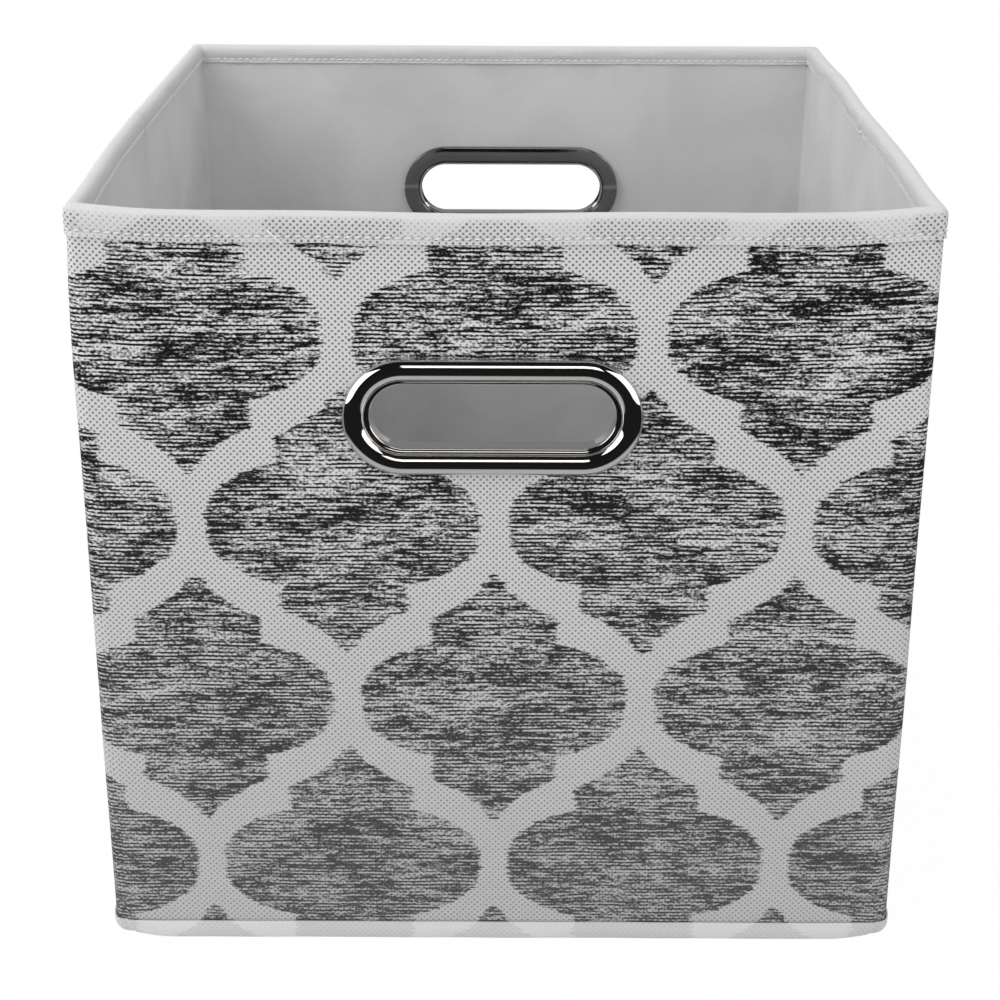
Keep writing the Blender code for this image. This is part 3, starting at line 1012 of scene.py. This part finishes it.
def cornerFlap(name, outline, material):
    # A tucked strip inside the sewn corner; it closes the gap that opens there as the bin folds.
    axisX, axisY = foldInset - halfWidth, halfDepth - foldInset
    bm = bmesh.new()
    uvLayer = bm.loops.layers.uv.new("UVMap")
    rings, lengths = [], []
    turn = math.radians(flapShape["turn"])
    for step in range(31):
        share = (step - 4) / 26
        ring = []
        for radius, z in outline:
            if share < 0:
                place = (axisX - share * 26 / 4 * flapShape["tail"], axisY + radius)
            else:
                angle = math.pi / 2 + share * turn
                place = (axisX + radius * math.cos(angle), axisY + radius * math.sin(angle))
            ring.append(bm.verts.new((*place, z)))
        rings.append(ring)
        lengths.append(2 * binWidth + binDepth + share * turn * flapShape["outer"])
    count = len(outline)
    for column in range(len(rings) - 1):
        for row in range(count):
            after = (row + 1) % count
            corners = [(column, row), (column, after), (column + 1, after), (column + 1, row)]
            face = bm.faces.new([rings[c][r] for c, r in corners])
            for loop, (c, r) in zip(face.loops, corners):
                loop[uvLayer].uv = (lengths[c], outline[r][1])
    for ring in (rings[0], rings[-1]):
        pairs = [(i, count - 1 - i) for i in range(count // 2)]
        for (a, b), (c, d) in zip(pairs, pairs[1:]):
            bm.faces.new([ring[a], ring[c], ring[d], ring[b]])
    piece = newObject(name, finishMesh(bm, name))
    piece.data.materials.append(material)
    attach(piece, "rear")


def addFlaps():
    outer, inner = flapShape["outer"], flapShape["outer"] - flapShape["thick"]
    low, seam = skinLow.z, rimBottom + 0.004
    outline = [(outer, low), (outer, seam), (inner, seam), (inner, low)]
    cornerFlap("skin_rear_left_corner", outline, clothPrinted)
    top = binTop - flapShape["top"]
    roof = flapShape["roof"]
    outline = [(outer + 0.0003, rimBottom), (outer + 0.0003, top - 0.0004), (outer - 0.0001, top), (roof, top)]
    outline += [(roof, top - 0.0004), (outer - 0.0004, top - 0.0004), (outer - 0.0001, top - 0.0008)]
    outline += [(outer - 0.0001, rimBottom)]
    cornerFlap("top_binding_rear_left_corner", outline, clothRim)


addFlaps()


# Base.

baseShape = {"inset": 0.0034, "keep": 0.12, "quilt": 0.0003, "rise": 0.0016, "edge": 0.006, "step": 0.0065}


def plateMesh(name, lowPlace, highPlace, lowZ, highZ, step, cornerRadius=0.002):
    # A closed slab with a grid on both faces; lowZ and highZ give the height at each place.
    bm = bmesh.new()
    uvLayer = bm.loops.layers.uv.new("UVMap")
    sizeX, sizeY = highPlace[0] - lowPlace[0], highPlace[1] - lowPlace[1]
    columns, rows = round(sizeX / step), round(sizeY / step)
    levels = []
    for heightAt in (lowZ, highZ):
        grid = []
        for i in range(columns + 1):
            line = []
            for j in range(rows + 1):
                x, y = lowPlace[0] + sizeX * i / columns, lowPlace[1] + sizeY * j / rows
                if i in (0, columns) and j in (0, rows):
                    x -= math.copysign(cornerRadius, x)
                    y -= math.copysign(cornerRadius, y)
                line.append(bm.verts.new((x, y, heightAt(x, y))))
            grid.append(line)
        levels.append(grid)
    for low, grid in zip((True, False), levels):
        for i in range(columns):
            for j in range(rows):
                ring = [grid[i][j], grid[i + 1][j], grid[i + 1][j + 1], grid[i][j + 1]]
                bm.faces.new(reversed(ring) if low else ring)
    edge = [(i, 0) for i in range(columns)] + [(columns, j) for j in range(rows)]
    edge += [(i, rows) for i in range(columns, 0, -1)] + [(0, j) for j in range(rows, 0, -1)]
    for (i, j), (m, n) in zip(edge, edge[1:] + edge[:1]):
        bm.faces.new([levels[0][i][j], levels[0][m][n], levels[1][m][n], levels[1][i][j]])
    for face in bm.faces:
        for loop in face.loops:
            loop[uvLayer].uv = (loop.vert.co.x, loop.vert.co.y)
    return newObject(name, finishMesh(bm, name, 50))


def puffUp(obj, limit):
    # Blender's Cloth with pressure, and no point moves further than limit.
    rest = [vert.co.copy() for vert in obj.data.vertices]
    middle = sum(point.z for point in rest) / len(rest)
    pins = obj.vertex_groups.new(name="pins")
    low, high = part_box("base_pad")
    for index, point in enumerate(rest):
        near = min(point.x - low.x, high.x - point.x, point.y - low.y, high.y - point.y)
        if near < baseShape["step"] * 0.6:
            pins.add([index], 1.0, "REPLACE")
    modifier = obj.modifiers.new("Cloth", "CLOTH")
    settings = modifier.settings
    settings.vertex_group_mass = "pins"
    settings.use_pressure = True
    settings.uniform_pressure_force = 4.0
    settings.effector_weights.gravity = 0.0
    settings.quality = 4
    modifier.collision_settings.use_collision = False
    scene = bpy.context.scene
    for frameNumber in range(1, 21):
        scene.frame_set(frameNumber)
    graph = bpy.context.evaluated_depsgraph_get()
    mesh = bpy.data.meshes.new_from_object(obj.evaluated_get(graph))
    obj.modifiers.clear()
    for vert, point in zip(mesh.vertices, rest):
        move = vert.co - point
        share = min(1.0, limit / max(move.length, 1e-9))
        vert.co = point + move * share
        floor, roof = low.z, high.z
        vert.co.z = min(roof, max(floor, vert.co.z)) if point.z > middle else point.z
    obj.data = mesh
    mesh.name = obj.name
    scene.frame_set(1)


def addBase():
    low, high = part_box("bottom_fabric")
    inset = Vector((baseShape["inset"], baseShape["inset"], 0.0))
    low, high = low + inset, high - inset
    under = plateMesh("bottom_fabric_cloth", low, high, lambda x, y: low.z, lambda x, y: high.z, 0.012)
    padLow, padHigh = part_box("base_pad")
    wad = plateMesh(
        "base_wadding",
        padLow,
        padHigh,
        lambda x, y: padLow.z,
        lambda x, y: padHigh.z - 0.0006,
        baseShape["step"],
        0.003,
    )
    puffUp(wad, 0.0006)
    topLow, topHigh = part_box("base_lining")

    def bowl(x, y):
        near = min(x - topLow.x, topHigh.x - x, y - topLow.y, topHigh.y - y)
        turned = max(0.0, 1 - near / baseShape["edge"])
        wave = math.sin(x * 95 + 1.3 * math.sin(y * 61)) * math.sin(y * 83 + 1.1 * math.sin(x * 47))
        return baseShape["rise"] * turned**2 + baseShape["quilt"] * wave * (1 - turned)

    cover = plateMesh(
        "base_lining_cloth",
        topLow,
        topHigh,
        lambda x, y: topLow.z + bowl(x, y) + 0.0002,
        lambda x, y: topHigh.z + bowl(x, y) + 0.0002,
        0.005,
    )
    for piece, node, material, slotName in (
        (under, "bottom_fabric", clothBase, "base_fabric"),
        (wad, "base_pad", pad, "wadding"),
        (cover, "base_lining", clothLining, "lining_fabric"),
    ):
        piece.data.materials.clear()
        piece.data.materials.append(material)
        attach(piece, "front")
        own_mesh(piece)
        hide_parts(node)


addBase()
print("base made")


# Handles.

bezelShape = {"flange": 0.0094, "edge": 0.00045, "proud": 0.0038, "lip": 0.0012, "lipProud": 0.0003, "reach": 0.0059}
backRingShape = {"inner": 0.0013, "outer": 0.0078, "near": 0.0037, "far": 0.0059, "round": 0.0005}


def bezelProfile():
    # Distance outwards from the slot's edge, and distance out from the cloth.
    lip, flange = bezelShape["lip"], bezelShape["flange"]
    edge = bezelShape["edge"]
    points = [(flange, 0.0), (flange, edge - 0.00015), (flange - 0.00015, edge)]
    middle, half = (flange + lip) / 2, (flange - lip) / 2 - 0.00025
    for step in range(1, 20):
        angle = math.pi * step / 20
        rise = (bezelShape["proud"] - edge) * math.sin(angle) ** 0.85
        points.append((middle + half * math.cos(angle), edge + rise))
    points.append((lip + 0.0002, edge + 0.0002))
    for step in range(7):
        angle = math.pi * step / 6
        points.append((lip / 2 + lip / 2 * math.cos(angle), edge + bezelShape["lipProud"] * math.sin(angle)))
    back = -bezelShape["reach"]
    points += [(0.0, -0.002), (0.0, back + 0.0003), (0.0003, back), (0.0007, back), (0.0010, back + 0.0003)]
    points += [(0.0010, -0.002), (0.0010, -0.0004), (0.0014, 0.0)]
    return points


def backRingProfile():
    near, far = -backRingShape["near"], -backRingShape["far"]
    inner, outer, turn = backRingShape["inner"], backRingShape["outer"], backRingShape["round"]
    points = [(inner, near), (outer, near), (outer, far + turn)]
    for step in range(1, 4):
        angle = math.pi / 2 * step / 4
        points.append((outer - turn + turn * math.cos(angle), far + turn - turn * math.sin(angle)))
    points += [(outer - turn, far), (inner + turn, far)]
    for step in range(1, 4):
        angle = math.pi / 2 * step / 4
        points.append((inner + turn - turn * math.sin(angle), far + turn - turn * math.cos(angle)))
    points.append((inner, far + turn))
    return points


def sweptSlot(name, wall, profile):
    bm = bmesh.new()
    middleX, level = gripMiddle(wall)
    side = -1 if wall == "front" else 1
    rings = []
    for x, z, outX, outZ in stadium(gripShape["length"], gripShape["height"], 40):
        ring = []
        for out, proud in profile:
            place = (middleX + x + outX * out, side * (halfDepth + proud), level + z + outZ * out)
            ring.append(bm.verts.new(place))
        rings.append(ring)
    count = len(profile)
    for first, second in zip(rings, rings[1:] + rings[:1]):
        for row in range(count):
            after = (row + 1) % count
            bm.faces.new([first[row], first[after], second[after], second[row]])
    return newObject(name, finishMesh(bm, name, 40))


for wall in ("front", "rear"):
    for kind, profile in (("bezel", bezelProfile()), ("back_ring", backRingProfile())):
        ring = sweptSlot(f"handle_{kind}_{wall}", wall, profile)
        ring.data.materials.append(chrome if kind == "bezel" else shadedInnerChrome[wall])
        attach(ring, wall)
        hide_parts(f"{wall}_handle_{kind}")
print("handles made")


# Stitches.

stitchLook = {"length": 0.0025, "thickness": 0.00060, "slant": 10.0, "seed": 4}


def stitchTree():
    tree = bpy.data.node_groups.new("stitchRow", "GeometryNodeTree")
    tree.interface.new_socket("Geometry", in_out="INPUT", socket_type="NodeSocketGeometry")
    for name in ("Length", "Thickness", "Slant"):
        tree.interface.new_socket(name, in_out="INPUT", socket_type="NodeSocketFloat")
    tree.interface.new_socket("Seed", in_out="INPUT", socket_type="NodeSocketInt")
    tree.interface.new_socket("Thread", in_out="INPUT", socket_type="NodeSocketMaterial")
    tree.interface.new_socket("Geometry", in_out="OUTPUT", socket_type="NodeSocketGeometry")
    given = tree.nodes.new("NodeGroupInput").outputs
    link = tree.links.new

    def named(attribute):
        node = tree.nodes.new("GeometryNodeInputNamedAttribute")
        node.data_type = "FLOAT_VECTOR"
        node.inputs["Name"].default_value = attribute
        return node.outputs["Attribute"]

    ball = tree.nodes.new("GeometryNodeMeshUVSphere")
    ball.inputs["Segments"].default_value = 8
    ball.inputs["Rings"].default_value = 6
    ball.inputs["Radius"].default_value = 0.5
    size = tree.nodes.new("ShaderNodeCombineXYZ")
    link(given["Length"], size.inputs[0])
    link(given["Thickness"], size.inputs[1])
    link(given["Thickness"], size.inputs[2])
    shaped = tree.nodes.new("GeometryNodeTransform")
    link(ball.outputs["Mesh"], shaped.inputs["Geometry"])
    link(size.outputs[0], shaped.inputs["Scale"])
    facing = tree.nodes.new("FunctionNodeAlignRotationToVector")
    facing.axis = "Z"
    link(named("outward"), facing.inputs["Vector"])
    along = tree.nodes.new("FunctionNodeAlignRotationToVector")
    along.axis, along.pivot_axis = "X", "Z"
    link(facing.outputs[0], along.inputs["Rotation"])
    link(named("along"), along.inputs["Vector"])
    wander = tree.nodes.new("FunctionNodeRandomValue")
    wander.inputs[2].default_value = -0.09
    wander.inputs[3].default_value = 0.09
    link(given["Seed"], wander.inputs["Seed"])
    turn = tree.nodes.new("ShaderNodeMath")
    link(given["Slant"], turn.inputs[0])
    link(wander.outputs[1], turn.inputs[1])
    spin = tree.nodes.new("FunctionNodeAxisAngleToRotation")
    spin.inputs["Axis"].default_value = (0, 0, 1)
    link(turn.outputs[0], spin.inputs["Angle"])
    turned = tree.nodes.new("FunctionNodeRotateRotation")
    turned.rotation_space = "LOCAL"
    link(along.outputs[0], turned.inputs[0])
    link(spin.outputs[0], turned.inputs[1])
    placed = tree.nodes.new("GeometryNodeInstanceOnPoints")
    link(given["Geometry"], placed.inputs["Points"])
    link(shaped.outputs["Geometry"], placed.inputs["Instance"])
    link(turned.outputs[0], placed.inputs["Rotation"])
    real = tree.nodes.new("GeometryNodeRealizeInstances")
    link(placed.outputs["Instances"], real.inputs["Geometry"])
    smooth = tree.nodes.new("GeometryNodeSetShadeSmooth")
    link(real.outputs["Geometry"], smooth.inputs["Geometry"])
    painted = tree.nodes.new("GeometryNodeSetMaterial")
    link(smooth.outputs["Geometry"], painted.inputs["Geometry"])
    link(given["Thread"], painted.inputs["Material"])
    link(painted.outputs["Geometry"], tree.nodes.new("NodeGroupOutput").inputs["Geometry"])
    return tree


rowTree = stitchTree()


def addStitches(name, start, end):
    # Both rows of one stretch of the rim: outside and inside.
    places, along, outward = [], [], []
    first = math.ceil(start / rimShape["pitch"] - 1e-6)
    last = math.ceil(end / rimShape["pitch"] - 1e-6)
    z = rimBottom + rimShape["stitchUp"]
    for depth, side in ((-bindingOut, 1), (bindingDepth, -1)):
        for number in range(first, last):
            u = number * rimShape["pitch"]
            moved, raised = rimShift(u, depth, z)
            here, level = depth + moved - side * 0.00022, z + raised
            place = wallPoint(u, here, level)
            ahead = wallPoint(u + 0.0003, here, level)
            deep = wallPoint(u, here + 0.001, level)
            places.append(place)
            along.append([b - a for a, b in zip(place, ahead)])
            outward.append([side * (a - b) for a, b in zip(place, deep)])
    mesh = bpy.data.meshes.new(name + "Guide")
    mesh.from_pydata(places, [], [])
    for attribute, values in (("along", along), ("outward", outward)):
        data = mesh.attributes.new(attribute, "FLOAT_VECTOR", "POINT").data
        data.foreach_set("vector", [number for value in values for number in value])
    guide = newObject(name + "Guide", mesh)
    modifier = guide.modifiers.new("Stitches", "NODES")
    modifier.node_group = rowTree
    sockets = {item.name: item.identifier for item in rowTree.interface.items_tree if item.in_out == "INPUT"}
    modifier[sockets["Length"]] = stitchLook["length"]
    modifier[sockets["Thickness"]] = stitchLook["thickness"]
    modifier[sockets["Slant"]] = math.radians(stitchLook["slant"])
    modifier[sockets["Seed"]] = stitchLook["seed"]
    modifier[sockets["Thread"]] = thread
    graph = bpy.context.evaluated_depsgraph_get()
    made = bpy.data.meshes.new_from_object(guide.evaluated_get(graph))
    made.name = name
    for attribute in ("along", "outward"):
        if attribute in made.attributes:
            made.attributes.remove(made.attributes[attribute])
    bpy.data.objects.remove(guide, do_unlink=True)
    piece = newObject(name, made)
    return piece


for body, (start, end) in panels.items():
    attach(addStitches(f"stitches_{body}", start, end), body)
for stripName, (first, second, start, end) in strips.items():
    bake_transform(addStitches(f"stitches_{stripName}", start, end))


def tube(name, points, radius, sides=8):
    # A closed round tube along the points.
    curve = bpy.data.curves.new(name, "CURVE")
    curve.dimensions, curve.bevel_depth, curve.bevel_resolution = "3D", radius, 2
    curve.use_fill_caps = True
    spline = curve.splines.new("POLY")
    spline.points.add(len(points) - 1)
    for point, place in zip(spline.points, points):
        point.co = (*place, 1)
    guide = newObject(name + "Line", curve)
    graph = bpy.context.evaluated_depsgraph_get()
    made = bpy.data.meshes.new_from_object(guide.evaluated_get(graph))
    made.name = name
    bpy.data.objects.remove(guide, do_unlink=True)
    return newObject(name, made)


threadEnd = {"u": 0.0640, "length": 0.0048, "drop": 0.0046, "radius": 0.00027}


def addThreadEnd():
    seam = rimBottom + rimShape["stitchUp"]
    places = []
    for step in range(13):
        share = step / 12
        u = threadEnd["u"] + threadEnd["length"] * share
        z = seam + 0.0022 - threadEnd["drop"] * share**1.3
        depth = -bindingOut - 0.0013 - 0.0009 * math.sin(math.pi * share)
        places.append(wallPoint(u, depth, z))
    piece = tube("thread_end_front", places, threadEnd["radius"])
    piece.data.materials.clear()
    piece.data.materials.append(thread)
    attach(piece, "front")


addThreadEnd()
print("stitches made")


# Camera, light and floor.

cameraLook = {"place": (-0.0015, -0.7381, 0.4456), "down": 22.77, "roll": 0.0041, "lens": 69.9, "shiftY": -0.04}


def addCamera():
    data = bpy.data.cameras.new("camera")
    data.lens, data.sensor_width, data.shift_y = cameraLook["lens"], 36.0, cameraLook["shiftY"]
    data.clip_start, data.clip_end = 0.05, 20.0
    data.dof.use_dof = False
    camera = newObject("camera", data)
    camera.location = cameraLook["place"]
    camera.rotation_mode = "QUATERNION"
    pitch = Quaternion((1, 0, 0), math.radians(90 - cameraLook["down"]))
    roll = Quaternion((0, 0, 1), cameraLook["roll"])
    camera.rotation_quaternion = pitch @ roll
    bpy.context.scene.camera = camera


def addLight(name, place, aim, size, power, glossy=True, diffuse=True):
    data = bpy.data.lights.new(name, "AREA")
    data.shape, data.size, data.size_y = "RECTANGLE", size[0], size[1]
    data.energy = power
    light = newObject(name, data)
    light.location = place
    away = Vector(place) - Vector(aim)
    light.rotation_mode = "QUATERNION"
    light.rotation_quaternion = away.to_track_quat("Z", "Y")
    light.visible_glossy, light.visible_diffuse = glossy, diffuse
    light.visible_camera = False


def addStage():
    world = bpy.data.worlds.new("studio")
    bpy.context.scene.world = world
    world.use_nodes = True
    tree = world.node_tree
    tree.nodes.clear()
    output = tree.nodes.new("ShaderNodeOutputWorld")
    rays = tree.nodes.new("ShaderNodeLightPath").outputs
    sky = tree.nodes.new("ShaderNodeBackground")
    level = calc(tree, "MULTIPLY_ADD", rays["Is Camera Ray"], 1.0 - lightLook["sky"], lightLook["sky"])
    dark = calc(tree, "SUBTRACT", 1.0, rays["Is Glossy Ray"])
    level = calc(tree, "MULTIPLY", level, dark)
    direction = tree.nodes.new("ShaderNodeSeparateXYZ")
    tree.links.new(tree.nodes.new("ShaderNodeTexCoord").outputs["Generated"], direction.inputs[0])
    behind = fade(tree, direction.outputs[1], 0.2, 0.6, lightLook["studio"], lightLook["behind"])
    level = calc(tree, "ADD", level, calc(tree, "MULTIPLY", behind, rays["Is Glossy Ray"]))
    tree.links.new(level, sky.inputs["Strength"])
    tree.links.new(sky.outputs[0], output.inputs[0])
    bpy.ops.mesh.primitive_plane_add(size=12.0, location=(0, 0, -0.0002))
    floor = bpy.context.object
    floor.name = "floor"
    floor.data.materials.append(paleFloor())
    middle = (0, 0, 0.15)
    addLight("fill", (0.0, -2.2, 1.3), middle, (2.4, 1.6), lightLook["fill"], glossy=False)
    addLight("side", (-0.95, -0.35, 1.25), (0.1, 0.05, 0.2), (0.8, 0.8), lightLook["side"], glossy=False)
    grip = Vector((0.0, -halfDepth, 0.21))
    for name, direction, distance, size in (
        ("topCard", (0.12, -0.80, 0.50), 1.3, (0.60, 0.42)),
        ("leftCard", (-0.85, -0.42, 0.30), 1.2, (1.15, 1.0)),
        ("rightCard", (0.85, -0.42, 0.30), 1.2, (1.15, 1.0)),
    ):
        place = grip + Vector(direction).normalized() * distance
        power = lightLook["card"] * math.pi * size[0] * size[1]
        addLight(name, place, grip, size, power, diffuse=False)


addCamera()
addStage()
